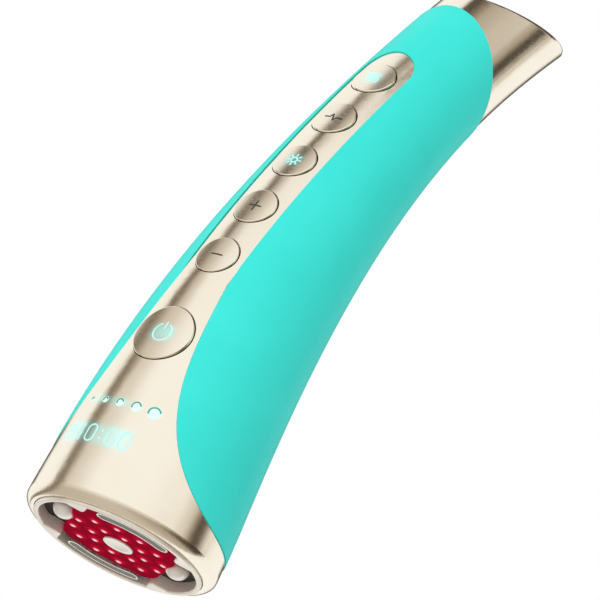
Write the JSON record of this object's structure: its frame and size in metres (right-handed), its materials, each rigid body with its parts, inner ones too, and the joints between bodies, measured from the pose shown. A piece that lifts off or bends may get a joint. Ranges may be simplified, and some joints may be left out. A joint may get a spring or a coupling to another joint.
{
  "type": "red light therapy wand",
  "caption": "Handheld light-therapy wand with a round lamp and electrode head, a curved tapering grip, a row of push buttons down its front and a slanted tail with a charging inlet.",
  "frame": {"origin": "centre of the head's flat rim, where the wand stands or meets the skin", "axes": "+Z from the head up the grip to the tail, the buttons face -Y, +X is to the right seen from the front, and the tail bends to +Y"},
  "size_m": [0.0482, 0.0819, 0.1702],
  "materials": {
    "gold": "metallised champagne gold over moulded plastic",
    "teal": "soft satin teal",
    "rim": "metallised pale champagne",
    "carrier": "dark grey moulded",
    "red_lens": "clear red lens, lit from behind",
    "dome_metal": "polished plated metal",
    "arc_metal": "finely hatched plated metal",
    "rubber": "black silicone",
    "board": "green glass-epoxy board",
    "led": "pale moulded LED body",
    "aluminium": "plain sheet",
    "steel": "plain steel",
    "black_plastic": "black moulded",
    "frame_plastic": "dark grey moulded",
    "light_pipe": "clear light guide, lit pale cyan",
    "winding": "copper winding on a dark core",
    "connector": "cream moulded",
    "ribbon": "flat flexible cable",
    "cell": "blue sleeve over the cell's can",
    "strap": "black woven tape"
  },
  "bodies": {
    "wand": {"front_housing": "gold", "tail_cap": "gold", "tail_plate": "gold", "grip_shell": "teal", "head_bezel": "rim", "electrode_carrier": "carrier", "led_lens": "red_lens", "dome_electrode_1": "dome_metal", "dome_electrode_2": "dome_metal", "arc_electrode_1": "arc_metal", "arc_electrode_2": "arc_metal", "centre_electrode": "dome_metal", "head_gasket": "rubber", "led_board": "board", "leds": "led", "heat_spreader": "aluminium", "head_screws": "steel", "spreader_screws": "steel", "carrier_screws": "steel", "display_screws": "steel", "board_screws": "steel", "charge_screws": "steel", "tail_screw": "steel", "switch_bodies": "black_plastic", "key_board": "board", "key_carrier": "frame_plastic", "level_light_pipe": "light_pipe", "indicator_leds": "led", "readout_module": "black_plastic", "display_board": "board", "inner_frame": "frame_plastic", "main_board": "board", "control_chip": "black_plastic", "boost_inductor": "black_plastic", "pulse_transformer": "winding", "board_connectors": "connector", "head_socket": "connector", "head_ribbon": "ribbon", "battery_cell": "cell", "cell_strap": "strap", "charge_board": "board", "charge_port": "steel", "charge_tongue": "black_plastic"},
    "power_button": {"power_key": "gold", "power_plunger": "black_plastic"},
    "minus_button": {"minus_key": "gold", "minus_plunger": "black_plastic"},
    "plus_button": {"plus_key": "gold", "plus_plunger": "black_plastic"},
    "light_button": {"light_key": "gold", "light_plunger": "black_plastic"},
    "pulse_button": {"pulse_key": "gold", "pulse_plunger": "black_plastic"},
    "heat_button": {"heat_key": "gold", "heat_plunger": "black_plastic"}
  },
  "joints": [
    {"name": "power_press", "type": "slide", "parent": "wand", "child": "power_button", "axis": [0, 0.9886, -0.1506], "range_m": [0, 0.0004], "stiffness_N_per_m": 2500, "springref_m": -0.0004},
    {"name": "minus_press", "type": "slide", "parent": "wand", "child": "minus_button", "axis": [0, 0.9717, -0.2361], "range_m": [0, 0.0004], "stiffness_N_per_m": 2500, "springref_m": -0.0004},
    {"name": "plus_press", "type": "slide", "parent": "wand", "child": "plus_button", "axis": [0, 0.9576, -0.288], "range_m": [0, 0.0004], "stiffness_N_per_m": 2500, "springref_m": -0.0004},
    {"name": "light_press", "type": "slide", "parent": "wand", "child": "light_button", "axis": [0, 0.9423, -0.3348], "range_m": [0, 0.0004], "stiffness_N_per_m": 2500, "springref_m": -0.0004},
    {"name": "pulse_press", "type": "slide", "parent": "wand", "child": "pulse_button", "axis": [0, 0.9264, -0.3766], "range_m": [0, 0.0004], "stiffness_N_per_m": 2500, "springref_m": -0.0004},
    {"name": "heat_press", "type": "slide", "parent": "wand", "child": "heat_button", "axis": [0, 0.9106, -0.4133], "range_m": [0, 0.0004], "stiffness_N_per_m": 2500, "springref_m": -0.0004}
  ]
}
